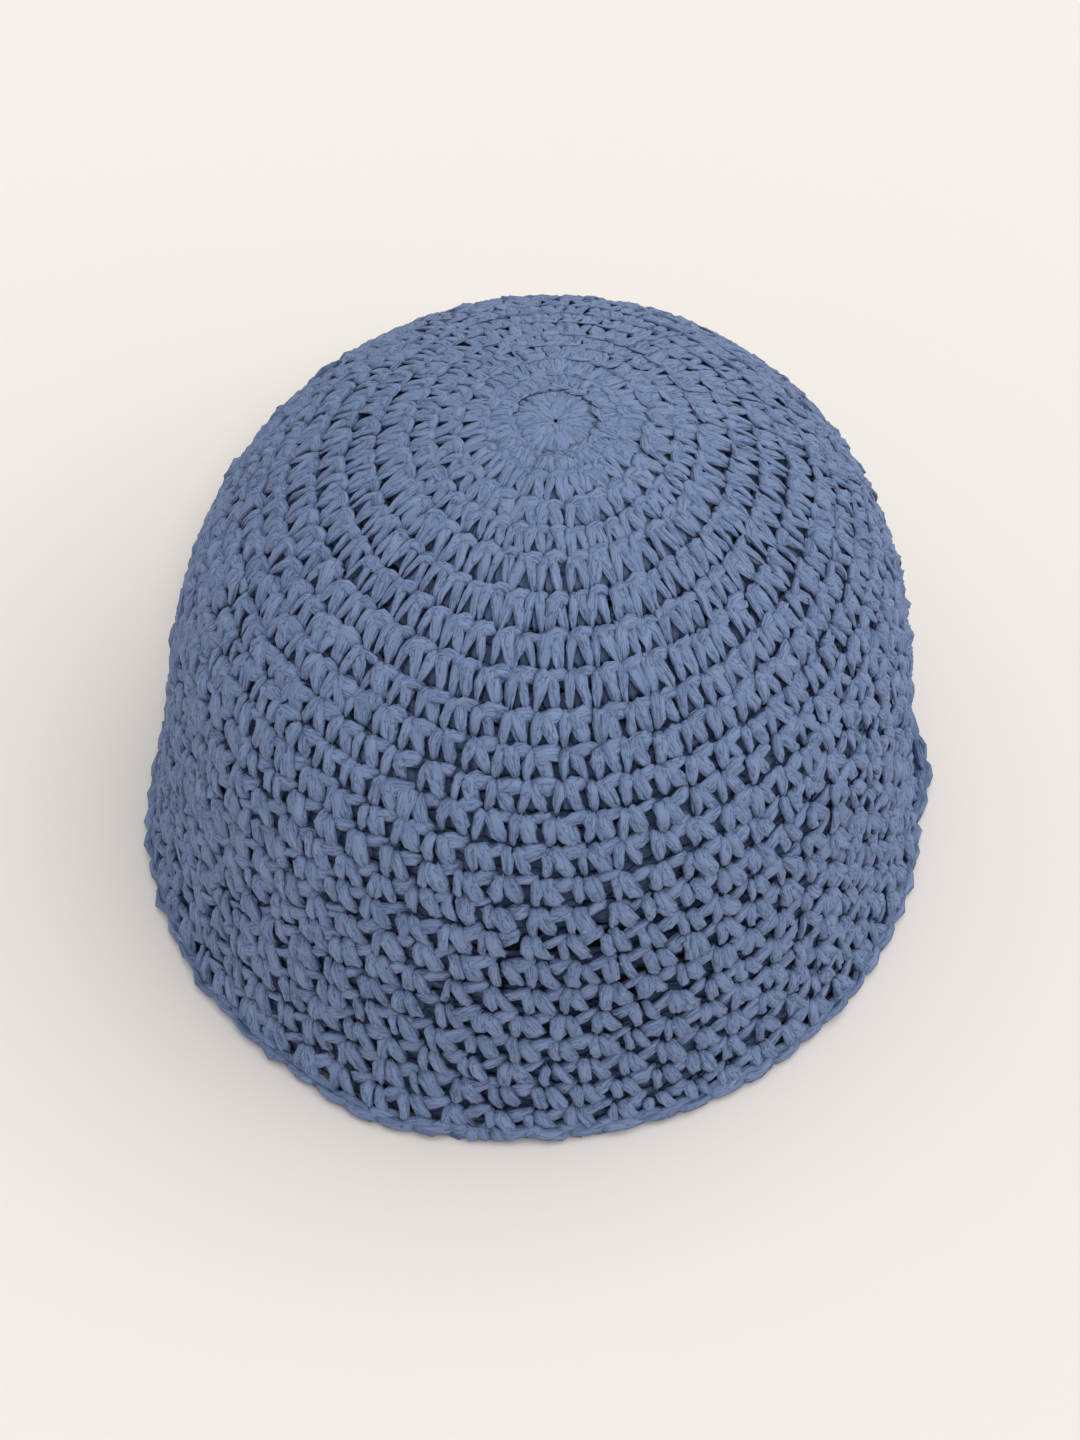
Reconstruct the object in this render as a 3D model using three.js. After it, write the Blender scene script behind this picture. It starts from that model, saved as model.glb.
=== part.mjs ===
// A crocheted cap with a short soft peak, lying on a surface as it lies by itself.
// Millimetres, +Z up. The peak points towards -Y. The origin is in the middle of the base.
// Each layer of crochet is a plain wall here: the crown is a hollow dome, open below, and the
// peak is a curved plate under the front of its rim. A border runs round the back of the rim,
// and another round the edge of the peak.
import * as THREE from 'three';
import { mergeVertices } from 'three/addons/utils/BufferGeometryUtils.js';

// The cloth.
const wall = 4.0; // thickness of one layer of crochet
const gap = 0.3; // between neighbouring pieces
const borderHeight = 4.0;
const borderWidth = 4.2; // from the inside to the outside of a border
const borderProud = 2.0; // how far the rim's border stands outside the crown

// The crown: half an outline turned round, pressed into an oval, with a raised front.
const crownArc = 177.5; // over the outside, from the middle of the top to the rim
const crownOutline = [
  // slope below the horizontal, at shares of that arc
  { share: 0.0, slopeDeg: 0.0 },
  { share: 0.125, slopeDeg: 15.6 },
  { share: 0.25, slopeDeg: 27.7 },
  { share: 0.375, slopeDeg: 37.3 },
  { share: 0.5, slopeDeg: 55.3 },
  { share: 0.625, slopeDeg: 75.3 },
  { share: 0.75, slopeDeg: 83.3 },
  { share: 0.875, slopeDeg: 83.4 },
  { share: 1.0, slopeDeg: 82.2 },
];
const ovalRatio = 1.1; // length of the crown's plan over its width
const ovalTurnDeg = -16.2; // its long axis, turned about Z from the +Y axis
const frontLift = 15.0; // of the rim, in the middle of the front

// The peak: angles from straight ahead, positive towards -X, and how far its edge stands
// outside the rim there. It flares a little at both ends, where it turns off the rim.
const peakOutline = [
  { turnDeg: -106, reach: 2.0 },
  { turnDeg: -99, reach: 2.3 },
  { turnDeg: -90, reach: 2.0 },
  { turnDeg: -80, reach: 2.0 },
  { turnDeg: -70, reach: 4.2 },
  { turnDeg: -60, reach: 9.5 },
  { turnDeg: -45, reach: 23.0 },
  { turnDeg: -30, reach: 40.0 },
  { turnDeg: -15, reach: 56.0 },
  { turnDeg: 0, reach: 62.0 },
  { turnDeg: 15, reach: 56.5 },
  { turnDeg: 30, reach: 41.0 },
  { turnDeg: 45, reach: 24.0 },
  { turnDeg: 60, reach: 10.5 },
  { turnDeg: 70, reach: 5.2 },
  { turnDeg: 77, reach: 4.0 },
  { turnDeg: 85, reach: 5.0 },
  { turnDeg: 92, reach: 3.8 },
  { turnDeg: 98, reach: 2.0 },
];
const plateEndsDeg = { left: -73, right: 94 }; // there the border takes the plate's place
const edgeLift = 6.0; // of the peak's edge, in the middle of the front
const peakArch = 2.5; // how far the peak bulges up between its rim and its edge

// Facets.
const crownSides = 56; // one for each stitch of a full round
const crownBands = 16; // from the top to the rim, on each side of the wall
const outlineSteps = 320; // for summing up the outline
const peakSides = 36;
const peakBands = 7;
const rimBorderSides = 44;
const peakBorderSides = 64;

const colour = new THREE.Color().setRGB(0.4, 0.47, 0.62, THREE.SRGBColorSpace);
const rad = THREE.MathUtils.degToRad;

// A smooth curve through a table's rows: column y against column x.
function smooth(rows, x, y, at) {
  const last = rows.length - 1;
  const steepness = (i) => {
    const before = rows[Math.max(i - 1, 0)];
    const after = rows[Math.min(i + 1, last)];
    return (after[y] - before[y]) / (after[x] - before[x]);
  };
  let i = 0;
  while (i < last - 1 && at > rows[i + 1][x]) i += 1;
  const width = rows[i + 1][x] - rows[i][x];
  const t = THREE.MathUtils.clamp((at - rows[i][x]) / width, 0, 1);
  const start = (2 * t ** 3 - 3 * t ** 2 + 1) * rows[i][y];
  const end = (3 * t ** 2 - 2 * t ** 3) * rows[i + 1][y];
  const bend = (t ** 3 - 2 * t ** 2 + t) * steepness(i) + (t ** 3 - t ** 2) * steepness(i + 1);
  return start + end + bend * width;
}

// The crown's outline summed up from its slopes: radius, height above the rim and slope.
function sumOutline() {
  const step = crownArc / outlineSteps;
  const points = [{ s: 0, r: 0, z: 0, slope: 0 }];
  for (let i = 1; i <= outlineSteps; i += 1) {
    const before = points[i - 1];
    const slope = rad(smooth(crownOutline, 'share', 'slopeDeg', i / outlineSteps));
    const middle = (slope + before.slope) / 2;
    points.push({
      s: i * step,
      r: before.r + step * Math.cos(middle),
      z: before.z - step * Math.sin(middle),
      slope,
    });
  }
  const rimHeight = points[outlineSteps].z;
  return points.map((p) => ({ ...p, z: p.z - rimHeight }));
}

const outline = sumOutline();
const crownHeight = outline[0].z;
const crownFoot = borderHeight + gap; // the wall's lower end, above the rim's borders
const rimRadius = outline[outlineSteps].r;

function outlineAt(s) {
  const place = (s / crownArc) * outlineSteps;
  const i = Math.min(Math.floor(place), outlineSteps - 1);
  const mix = (key) => THREE.MathUtils.lerp(outline[i][key], outline[i + 1][key], place - i);
  return { r: mix('r'), z: mix('z'), slope: mix('slope') };
}

// How far the rim, or anything that follows it, is raised: all of it at the middle of the front.
function raised(cosFromFront) {
  return Math.max(0, cosFromFront) ** 2;
}

// A point of the crown: radius and height on its round outline, and the angle round it. The
// front's lift fades out quickly towards the top.
function placeOnCrown(r, z, angle) {
  const across = (r * Math.cos(angle)) / Math.sqrt(ovalRatio);
  const along = r * Math.sin(angle) * Math.sqrt(ovalRatio);
  const turn = rad(ovalTurnDeg);
  const x = across * Math.cos(turn) - along * Math.sin(turn);
  const y = across * Math.sin(turn) + along * Math.cos(turn);
  const fromAxis = Math.hypot(x, y);
  const lift = fromAxis > 0 ? frontLift * raised(-y / fromAxis) : 0;
  const nearness = (crownHeight - z) / (crownHeight - crownFoot); // to the foot of the wall
  return new THREE.Vector3(x, y, z + lift * nearness ** 2);
}

// The rim's radius at an angle from straight ahead, on the outside of the crown.
function rimAt(turn) {
  const fromLongAxis = turn + rad(ovalTurnDeg);
  const across = (Math.sin(fromLongAxis) * Math.sqrt(ovalRatio)) / rimRadius;
  const along = Math.cos(fromLongAxis) / Math.sqrt(ovalRatio) / rimRadius;
  return 1 / Math.hypot(across, along);
}

// A point at an angle from straight ahead, so far outside the rim and so high.
function placeByRim(turn, outside, height) {
  const r = rimAt(turn) + outside;
  return new THREE.Vector3(-r * Math.sin(turn), -r * Math.cos(turn), height);
}

function reachAt(turn) {
  return smooth(peakOutline, 'turnDeg', 'reach', THREE.MathUtils.radToDeg(turn));
}

// A closed body through rings of as many points each, with flat ends.
function loft(rings) {
  const count = rings[0].length;
  const positions = rings.flat().flatMap((p) => [p.x, p.y, p.z]);
  const faces = [];
  for (let i = 0; i < rings.length - 1; i += 1) {
    for (let j = 0; j < count; j += 1) {
      const next = (j + 1) % count;
      const a = i * count + j;
      const b = i * count + next;
      faces.push(a, b, b + count, a, b + count, a + count);
    }
  }
  const lastRing = (rings.length - 1) * count;
  for (let j = 1; j < count - 1; j += 1) {
    faces.push(0, j + 1, j, lastRing, lastRing + j, lastRing + j + 1);
  }
  const geometry = new THREE.BufferGeometry();
  geometry.setAttribute('position', new THREE.Float32BufferAttribute(positions, 3));
  geometry.setIndex(faces);
  return geometry;
}

// Angles from one end to the other, both ends included.
function spread(from, to, sides) {
  return Array.from({ length: sides + 1 }, (_, i) => from + ((to - from) * i) / sides);
}

function makeMesh(name, geometry) {
  geometry.computeVertexNormals();
  const material = new THREE.MeshStandardMaterial({ color: colour, roughness: 0.85, metalness: 0 });
  const mesh = new THREE.Mesh(geometry, material);
  mesh.name = name;
  return mesh;
}

// The crown: the wall's section turned round the axis, with each point put in its place.
function makeCrown() {
  const end = outline.find((p) => p.z <= crownFoot).s;
  const outer = [];
  const inner = [];
  for (let i = 0; i <= crownBands; i += 1) {
    const { r, z, slope } = outlineAt((end * i) / crownBands);
    outer.push(new THREE.Vector2(r, z));
    inner.push(new THREE.Vector2(Math.max(0, r - wall * Math.sin(slope)), z - wall * Math.cos(slope)));
  }
  outer[crownBands].y = crownFoot;
  inner[crownBands].set(outer[crownBands].x - wall, crownFoot);
  const turned = new THREE.LatheGeometry([...outer, ...inner.reverse()], crownSides);
  const position = turned.getAttribute('position');
  for (let i = 0; i < position.count; i += 1) {
    const r = Math.hypot(position.getX(i), position.getZ(i));
    const angle = Math.atan2(position.getZ(i), position.getX(i));
    position.setXYZ(i, ...placeOnCrown(r, position.getY(i), angle).toArray());
  }
  turned.deleteAttribute('normal');
  turned.deleteAttribute('uv');
  return makeMesh('crown', mergeVertices(turned));
}

// The peak's plate: it starts under the crown's wall and ends at the peak's border.
function makePeak() {
  const rings = spread(rad(plateEndsDeg.left), rad(plateEndsDeg.right), peakSides).map((turn) => {
    const edge = reachAt(turn) - borderWidth - gap;
    const bottom = spread(0, 1, peakBands).map((t) => {
      const height = THREE.MathUtils.lerp(frontLift, edgeLift, t) + peakArch * Math.sin(Math.PI * t);
      return { outside: THREE.MathUtils.lerp(-wall, edge, t), height: height * raised(Math.cos(turn)) };
    });
    const top = bottom.map((p) => ({ ...p, height: p.height + wall })).reverse();
    return [...bottom, ...top].map((p) => placeByRim(turn, p.outside, p.height));
  });
  return makeMesh('peak', loft(rings));
}

// A border: an eight-sided cord whose outside stands so far outside the rim, and so high.
function makeBorder(name, from, to, sides, reach, lift) {
  const halfWidth = borderWidth / 2;
  const halfHeight = borderHeight / 2;
  const section = spread(0, 7, 7).map((k) => {
    const corner = rad(45 * k + 22.5);
    const shape = 1 / Math.cos(rad(22.5));
    return { across: Math.cos(corner) * shape * halfWidth, up: Math.sin(corner) * shape * halfHeight };
  });
  const rings = spread(from, to, sides).map((turn) =>
    section.map((p) => placeByRim(turn, reach(turn) - halfWidth + p.across, lift(turn) + halfHeight + p.up)),
  );
  return makeMesh(name, loft(rings));
}

const corners = { left: rad(peakOutline.at(0).turnDeg), right: rad(peakOutline.at(-1).turnDeg) };

function makeRimBorder() {
  const clear = gap / rimRadius;
  const from = corners.right + clear;
  const to = corners.left + 2 * Math.PI - clear;
  return makeBorder('rim_border', from, to, rimBorderSides, () => borderProud, () => 0);
}

function makePeakBorder() {
  const lift = (turn) => edgeLift * raised(Math.cos(turn));
  return makeBorder('peak_border', corners.left, corners.right, peakBorderSides, reachAt, lift);
}

const cap = new THREE.Group();
cap.add(makeCrown(), makePeak(), makeRimBorder(), makePeakBorder());

// The origin goes to the middle of the base.
const box = new THREE.Box3().setFromObject(cap);
const middle = box.getCenter(new THREE.Vector3());
cap.position.set(-middle.x, -middle.y, -box.min.z);

const group = new THREE.Group();
group.add(cap);
export default group;
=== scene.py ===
"""A crocheted cap with a short soft peak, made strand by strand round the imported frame.

Lengths in the classes are millimetres, as in the part's own constants. A point of the cloth is
named by its angle about the crown's axis, its way down the cloth from the middle of the top, and
its way out from the cloth's outer face. Meshes are written in metres.
"""

import logging
import math
from collections.abc import Sequence
from dataclasses import dataclass, field, fields
from enum import Enum

import bpy
import numpy as np
from mathutils import Matrix, Vector


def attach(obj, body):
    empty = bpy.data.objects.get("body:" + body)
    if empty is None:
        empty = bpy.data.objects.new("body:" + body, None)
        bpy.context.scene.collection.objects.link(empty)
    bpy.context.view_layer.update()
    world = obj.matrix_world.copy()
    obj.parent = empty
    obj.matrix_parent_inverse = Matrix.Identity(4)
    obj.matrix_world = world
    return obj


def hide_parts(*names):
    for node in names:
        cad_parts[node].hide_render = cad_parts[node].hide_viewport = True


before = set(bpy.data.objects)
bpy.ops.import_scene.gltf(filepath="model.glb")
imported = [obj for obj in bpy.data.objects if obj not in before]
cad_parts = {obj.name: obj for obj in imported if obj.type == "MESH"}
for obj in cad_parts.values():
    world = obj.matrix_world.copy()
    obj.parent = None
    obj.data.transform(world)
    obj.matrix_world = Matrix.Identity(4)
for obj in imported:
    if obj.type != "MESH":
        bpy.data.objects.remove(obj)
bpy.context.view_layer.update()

log = logging.getLogger("cap")

MM = 0.001
TINY = 1e-6
BODY = "root"
SEED = 7


class Slot(Enum):
    """The record's material slots."""

    CLOTH = "paper_yarn"
    BORDER = "border_yarn"


class Tube(Enum):
    """How finely a strand is made."""

    OUTER = 0
    INNER = 1


class Draw(Enum):
    """What a strand's random values are for: each adds its own step to the seed."""

    FIRST_BEND = 1
    SECOND_BEND = 2
    CREASES = 3
    ROLL = 4
    SHADE = 5
    FIBRES = 6
    CRUMPLE = 7


class Wire:
    """A node's socket with arithmetic: numbers add Math nodes, vectors add Vector Math nodes."""

    def __init__(self, graph: "Graph", socket: bpy.types.NodeSocket) -> None:
        """Wraps one output socket of a tree."""
        self.graph = graph
        self.socket = socket

    @property
    def is_vector(self) -> bool:
        """Whether the socket carries three numbers."""
        return self.socket.type == "VECTOR"

    def __add__(self, other: "Term") -> "Wire":
        """The sum."""
        return self.graph.combine("ADD", self, other)

    def __radd__(self, other: "Term") -> "Wire":
        """The sum, reflected."""
        return self.graph.combine("ADD", other, self)

    def __sub__(self, other: "Term") -> "Wire":
        """The difference."""
        return self.graph.combine("SUBTRACT", self, other)

    def __rsub__(self, other: "Term") -> "Wire":
        """The difference, reflected."""
        return self.graph.combine("SUBTRACT", other, self)

    def __mul__(self, other: "Term") -> "Wire":
        """The product."""
        return self.graph.combine("MULTIPLY", self, other)

    def __rmul__(self, other: "Term") -> "Wire":
        """The product, reflected."""
        return self.graph.combine("MULTIPLY", other, self)

    def __pow__(self, other: "Term") -> "Wire":
        """The power."""
        return self.graph.math("POWER", self, other)


Term = Wire | float | int | Sequence[float]


class Graph:
    """A node tree while it is built."""

    def __init__(self, tree: bpy.types.NodeTree) -> None:
        """Starts on the tree that new nodes go into."""
        self.tree = tree

    @staticmethod
    def find(sockets: bpy.types.bpy_prop_collection, key: str | int) -> bpy.types.NodeSocket:
        """Picks a node's socket.

        Args:
            sockets: The node's inputs or outputs.
            key: The socket's name, or its place in the list.

        Returns:
            The socket at that place, or the first usable one of that name.
        """
        if isinstance(key, int):
            return sockets[key]
        return next(s for s in sockets if s.name == key and s.enabled)

    def node(
        self,
        kind: str,
        settings: dict[str, object] | None = None,
        sockets: dict[str | int, object] | None = None,
    ) -> bpy.types.Node:
        """Adds a node.

        Args:
            kind: The node's type.
            settings: Its own settings, set before the sockets. "stops" fills a ramp.
            sockets: Values or wires for its inputs, by name or place.

        Returns:
            The new node.
        """
        node = self.tree.nodes.new(kind)
        for name, value in (settings or {}).items():
            if name == "stops":
                self._fill_ramp(node.color_ramp, value)
            else:
                setattr(node, name, value)
        for key, value in (sockets or {}).items():
            socket = self.find(node.inputs, key)
            for item in value if isinstance(value, list) else [value]:
                if isinstance(item, Wire):
                    self.tree.links.new(item.socket, socket)
                else:
                    socket.default_value = item
        return node

    @staticmethod
    def _fill_ramp(ramp: bpy.types.ColorRamp, stops: Sequence[tuple[float, float]]) -> None:
        """Sets a ramp's grey stops.

        Args:
            ramp: The ramp, which has two stops.
            stops: Each stop's place and brightness.
        """
        while len(ramp.elements) < len(stops):
            ramp.elements.new(0.5)
        for element, (place, grey) in zip(ramp.elements, stops):
            element.position = place
            element.color = (grey, grey, grey, 1.0)

    def out(self, node: bpy.types.Node, key: str | int = 0) -> Wire:
        """One of a node's outputs."""
        return Wire(self, self.find(node.outputs, key))

    def wire(
        self,
        kind: str,
        settings: dict[str, object] | None = None,
        sockets: dict[str | int, object] | None = None,
        key: str | int = 0,
    ) -> Wire:
        """Adds a node and returns one of its outputs."""
        return self.out(self.node(kind, settings, sockets), key)

    def math(self, operation: str, *terms: Term) -> Wire:
        """Adds a Math node and returns its result."""
        return self.wire("ShaderNodeMath", {"operation": operation}, dict(enumerate(terms)))

    def vector(self, operation: str, *terms: Term, result: str = "Vector") -> Wire:
        """Adds a Vector Math node and returns the named result."""
        return self.wire("ShaderNodeVectorMath", {"operation": operation}, dict(enumerate(terms)), result)

    @staticmethod
    def is_number(term: Term) -> bool:
        """Whether a term is one number, or a wire that carries one."""
        return not term.is_vector if isinstance(term, Wire) else isinstance(term, (int, float))

    def combine(self, operation: str, first: Term, second: Term) -> Wire:
        """Joins two terms with the node that suits them.

        Args:
            operation: ADD, SUBTRACT or MULTIPLY.
            first: A wire, a number or three numbers.
            second: The same.

        Returns:
            The result: a vector if either term is one.
        """
        numbers = [self.is_number(term) for term in (first, second)]
        if all(numbers):
            return self.math(operation, first, second)
        if operation == "MULTIPLY" and any(numbers):
            arrow, scale = (second, first) if numbers[0] else (first, second)
            return self.wire("ShaderNodeVectorMath", {"operation": "SCALE"}, {0: arrow, "Scale": scale})
        return self.vector(operation, first, second)

    def xyz(self, x: Term, y: Term, z: Term) -> Wire:
        """A vector from three numbers."""
        return self.wire("ShaderNodeCombineXYZ", sockets={0: x, 1: y, 2: z})

    def split(self, arrow: Wire) -> tuple[Wire, Wire, Wire]:
        """The three numbers of a vector."""
        node = self.node("ShaderNodeSeparateXYZ", sockets={0: arrow})
        return self.out(node, 0), self.out(node, 1), self.out(node, 2)

    def mix(self, share: Term, first: object, second: object) -> Wire:
        """A colour between two others."""
        sockets = {"Factor": share, "A": first, "B": second}
        return self.wire("ShaderNodeMix", {"data_type": "RGBA"}, sockets, "Result")


@dataclass
class StrandSet:
    """Strands, each a smooth path of four points with a flat oval section."""

    paths: np.ndarray
    normals: np.ndarray
    widths: np.ndarray
    thicknesses: np.ndarray
    tapers: np.ndarray
    inner: np.ndarray
    # How much painted shade each strand gets.
    sunk: np.ndarray

    @classmethod
    def join(cls, parts: Sequence["StrandSet"]) -> "StrandSet":
        """All strands of several sets, in order."""
        return cls(*(np.concatenate([getattr(part, item.name) for part in parts]) for item in fields(cls)))


class StrandTree:
    """The node tree that turns points into folded paper strands along their paths."""

    PATH = tuple(f"path_{i}" for i in range(4))
    WORKING = {"local", "normal", "width", "thickness", "taper", "inner", "sunk", "strand", *PATH}
    TIP = 0.004
    CREASES = 3.0
    CRUMPLE_PITCH = 0.6
    CRUMPLE_SCALE = 0.8
    AFAR = 50.0
    # Painted shade towards a strand's ends, and on its sides away from the cloth's face.
    END_SHARPNESS = 4.0
    LIT_SIDE = 0.7
    INPUTS = (
        ("Outer Sides", "NodeSocketInt", 6),
        ("Outer Rings", "NodeSocketInt", 6),
        ("Inner Sides", "NodeSocketInt", 6),
        ("Inner Rings", "NodeSocketInt", 3),
        ("Bluntness", "NodeSocketFloat", 0.4),
        ("Flatness", "NodeSocketFloat", 0.65),
        ("Crease Depth", "NodeSocketFloat", 0.12),
        ("Crumple", "NodeSocketFloat", 1.1),
        ("Crease Turns", "NodeSocketFloat", 1.2),
        ("Roll", "NodeSocketFloat", 1.0),
        ("Wander", "NodeSocketFloat", 0.2),
        # How much painted shade a strand's ends, where it dives under others, and its sides get.
        ("End Depth", "NodeSocketFloat", 0.4),
        ("Side Depth", "NodeSocketFloat", 0.45),
        ("Ground", "NodeSocketFloat", 0.05 * MM),
        ("Seed", "NodeSocketInt", SEED),
        ("Material", "NodeSocketMaterial", None),
    )

    def __init__(self) -> None:
        """Builds the tree once, for all pieces."""
        self.tree = bpy.data.node_groups.new("folded_strands", "GeometryNodeTree")
        face = self.tree.interface
        face.new_socket("Geometry", in_out="OUTPUT", socket_type="NodeSocketGeometry")
        face.new_socket("Geometry", in_out="INPUT", socket_type="NodeSocketGeometry")
        self.keys: dict[str, str] = {}
        for name, kind, default in self.INPUTS:
            socket = face.new_socket(name, in_out="INPUT", socket_type=kind)
            if default is not None:
                socket.default_value = default
            self.keys[name] = socket.identifier
        self.graph = Graph(self.tree)
        self.start = self.graph.node("NodeGroupInput")
        self._build()

    def given(self, name: str) -> Wire:
        """One of the tree's named inputs."""
        return self.graph.out(self.start, name)

    def stored(self, name: str, kind: str = "FLOAT") -> Wire:
        """A named attribute of the points."""
        settings = {"data_type": kind}
        return self.graph.wire("GeometryNodeInputNamedAttribute", settings, {"Name": name}, "Attribute")

    def keep(self, geometry: Wire, name: str, kind: str, value: Wire) -> Wire:
        """Stores a value of each point under a name."""
        sockets = {"Geometry": geometry, "Name": name, "Value": value}
        return self.graph.wire("GeometryNodeStoreNamedAttribute", {"data_type": kind}, sockets)

    def chance(self, kind: str, low: object, high: object, draw: Draw) -> Wire:
        """A number or vector that is random for each strand.

        Args:
            kind: FLOAT or FLOAT_VECTOR.
            low: The lowest value.
            high: The highest value.
            draw: What the value is for.

        Returns:
            The random value, the same at every point of one strand.
        """
        sockets = {
            "Min": low,
            "Max": high,
            "ID": self.stored("strand", "INT"),
            "Seed": self.given("Seed") + draw.value,
        }
        return self.graph.wire("FunctionNodeRandomValue", {"data_type": kind}, sockets, "Value")

    def afar(self, draw: Draw) -> Wire:
        """A random shift that takes each strand to its own part of a pattern."""
        return self.chance("FLOAT_VECTOR", (-self.AFAR,) * 3, (self.AFAR,) * 3, draw)

    def _tubes(self, points: Wire, sides: str, rings: str, chosen: Wire) -> Wire:
        """Puts one straight tube on each chosen point.

        Args:
            points: The points.
            sides: The input that says how many sides a tube has.
            rings: The input that says how many rings it has.
            chosen: True for the points that get this kind of tube.

        Returns:
            The instances, whose vertices know their place on the straight tube.
        """
        graph = self.graph
        sizes = {
            "Vertices": self.given(sides),
            "Side Segments": self.given(rings),
            "Radius": 1.0,
            "Depth": 1.0,
        }
        straight = graph.wire("GeometryNodeMeshCylinder", {"fill_type": "NGON"}, sizes)
        marked = self.keep(straight, "local", "FLOAT_VECTOR", graph.wire("GeometryNodeInputPosition"))
        sockets = {"Points": points, "Selection": chosen, "Instance": marked}
        return graph.wire("GeometryNodeInstanceOnPoints", sockets=sockets)

    def _build(self) -> None:
        """Adds the nodes, from the points to the finished strands."""
        graph = self.graph
        points = self.keep(self.given("Geometry"), "strand", "INT", graph.wire("GeometryNodeInputIndex"))
        inner = self.stored("inner", "BOOLEAN")
        outer = graph.wire("FunctionNodeBooleanMath", {"operation": "NOT"}, {0: inner})
        both = [
            self._tubes(points, "Outer Sides", "Outer Rings", outer),
            self._tubes(points, "Inner Sides", "Inner Rings", inner),
        ]
        joined = graph.wire("GeometryNodeJoinGeometry", sockets={0: both})
        loose = graph.wire("GeometryNodeRealizeInstances", sockets={0: joined})
        position, fibre, deep = self._shape()
        bent = graph.wire("GeometryNodeSetPosition", sockets={0: loose, "Position": position})
        marked = self.keep(bent, "fibre", "FLOAT_VECTOR", fibre)
        shaded = self.keep(marked, "shade", "FLOAT", self.chance("FLOAT", 0.0, 1.0, Draw.SHADE))
        # Painted shade, which the material reads.
        shade_marked = self.keep(shaded, "deep", "FLOAT", deep)
        smooth = graph.wire("GeometryNodeSetShadeSmooth", sockets={0: shade_marked})
        real = graph.wire("GeometryNodeRealizeInstances", sockets={0: smooth})
        dressed = graph.wire("GeometryNodeSetMaterial", sockets={0: real, "Material": self.given("Material")})
        graph.node("NodeGroupOutput", sockets={0: dressed})

    def _shape(self) -> tuple[Wire, Wire, Wire]:
        """Works out where each vertex of a strand goes.

        Returns:
            Its position, its place within the strand for the fibres' pattern, and its painted shade: the
            strand's own, more towards its ends and on its sides.
        """
        graph = self.graph
        flat_x, flat_y, flat_z = graph.split(self.stored("local", "FLOAT_VECTOR"))
        turn = math.pi * (flat_z + 0.5)
        along = 0.5 - 0.5 * graph.math("COSINE", turn)
        path, side, lift, way = self._bend(along)
        across, up = self._section((flat_x, flat_y), turn, along, way)
        slimness = graph.math("DIVIDE", self.stored("thickness"), self.stored("width"))
        roll = self.given("Roll") * slimness * self.chance("FLOAT", -1.0, 1.0, Draw.ROLL)
        cosine, sine = graph.math("COSINE", roll), graph.math("SINE", roll)
        free = path + side * (across * cosine - up * sine) + lift * (across * sine + up * cosine)
        x, y, z = graph.split(free)
        position = graph.xyz(x, y, graph.math("MAXIMUM", z, self.given("Ground")))
        fibre = graph.xyz(across, up, way) * (1.0 / MM) + self.afar(Draw.FIBRES)
        # Painted shade: the strand's own, more near its ends and on its sides and underside below the lit
        # face.
        end_shade_mask = graph.math("ABSOLUTE", 2.0 * along - 1.0) ** self.END_SHARPNESS
        side_shade_mask = graph.math("MAXIMUM", self.LIT_SIDE - flat_y, 0.0)
        deep = self.stored("sunk") + end_shade_mask * self.given("End Depth") + side_shade_mask * self.given("Side Depth")
        return position, fibre, deep

    def _bend(self, along: Wire) -> tuple[Wire, Wire, Wire, Wire]:
        """Follows a strand's smooth path, whose two middle points wander a little.

        Args:
            along: The share of the way along the strand.

        Returns:
            The point there, the directions across and out of the strand, and the way along it.
        """
        graph = self.graph
        back = 1.0 - along
        points = [self.stored(name, "FLOAT_VECTOR") for name in self.PATH]
        reach = self.given("Wander") * self.stored("thickness")
        for i, draw in ((1, Draw.FIRST_BEND), (2, Draw.SECOND_BEND)):
            points[i] = points[i] + self.chance("FLOAT_VECTOR", (-1.0,) * 3, (1.0,) * 3, draw) * reach
        start, first, second, end = points
        path = start * (back * back * back) + first * (3.0 * back * back * along)
        path = path + second * (3.0 * back * along * along) + end * (along * along * along)
        slope = (first - start) * (back * back) + (second - first) * (2.0 * back * along)
        slope = slope + (end - second) * (along * along)
        normal = self.stored("normal", "FLOAT_VECTOR")
        side = graph.vector("NORMALIZE", graph.vector("CROSS_PRODUCT", normal, slope))
        lift = graph.vector("NORMALIZE", graph.vector("CROSS_PRODUCT", slope, side))
        return path, side, lift, along * graph.vector("DISTANCE", start, end, result="Value")

    def _section(self, flat: tuple[Wire, Wire], turn: Wire, along: Wire, way: Wire) -> tuple[Wire, ...]:
        """Swells, creases and crumples a strand's section.

        Args:
            flat: The vertex's place in the straight tube's round section.
            turn: Half a turn from one end of the strand to the other.
            along: The share of the way along the strand.
            way: The way along it.

        Returns:
            How far the vertex lies across the strand and out of its middle.
        """
        graph = self.graph
        swell = graph.math("MAXIMUM", graph.math("SINE", turn), self.TIP) ** self.given("Bluntness")
        swell = swell * (1.0 + self.stored("taper") * (2.0 * along - 1.0))
        phase = self.chance("FLOAT", 0.0, 2.0 * math.pi, Draw.CREASES) + along * self.given("Crease Turns")
        creases = graph.math("COSINE", self.CREASES * graph.math("ARCTAN2", flat[1], flat[0]) + phase)
        swell = swell * (1.0 + creases * self.given("Crease Depth"))
        spot = graph.xyz(*flat, way * (self.CRUMPLE_PITCH / MM)) + self.afar(Draw.CRUMPLE)
        sockets = {"Vector": spot, "Scale": self.CRUMPLE_SCALE, "Detail": 1.0}
        noises = graph.split(graph.wire("ShaderNodeTexNoise", sockets=sockets, key="Color"))
        most = self.given("Crumple") * 2.0
        reaches = []
        for place, size, noise in zip(flat, ("width", "thickness"), noises):
            blunt = graph.math("SIGN", place) * graph.math("ABSOLUTE", place) ** self.given("Flatness")
            reaches.append(blunt * self.stored(size) * 0.5 * swell * (1.0 + (noise - 0.5) * most))
        return tuple(reaches)

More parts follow.
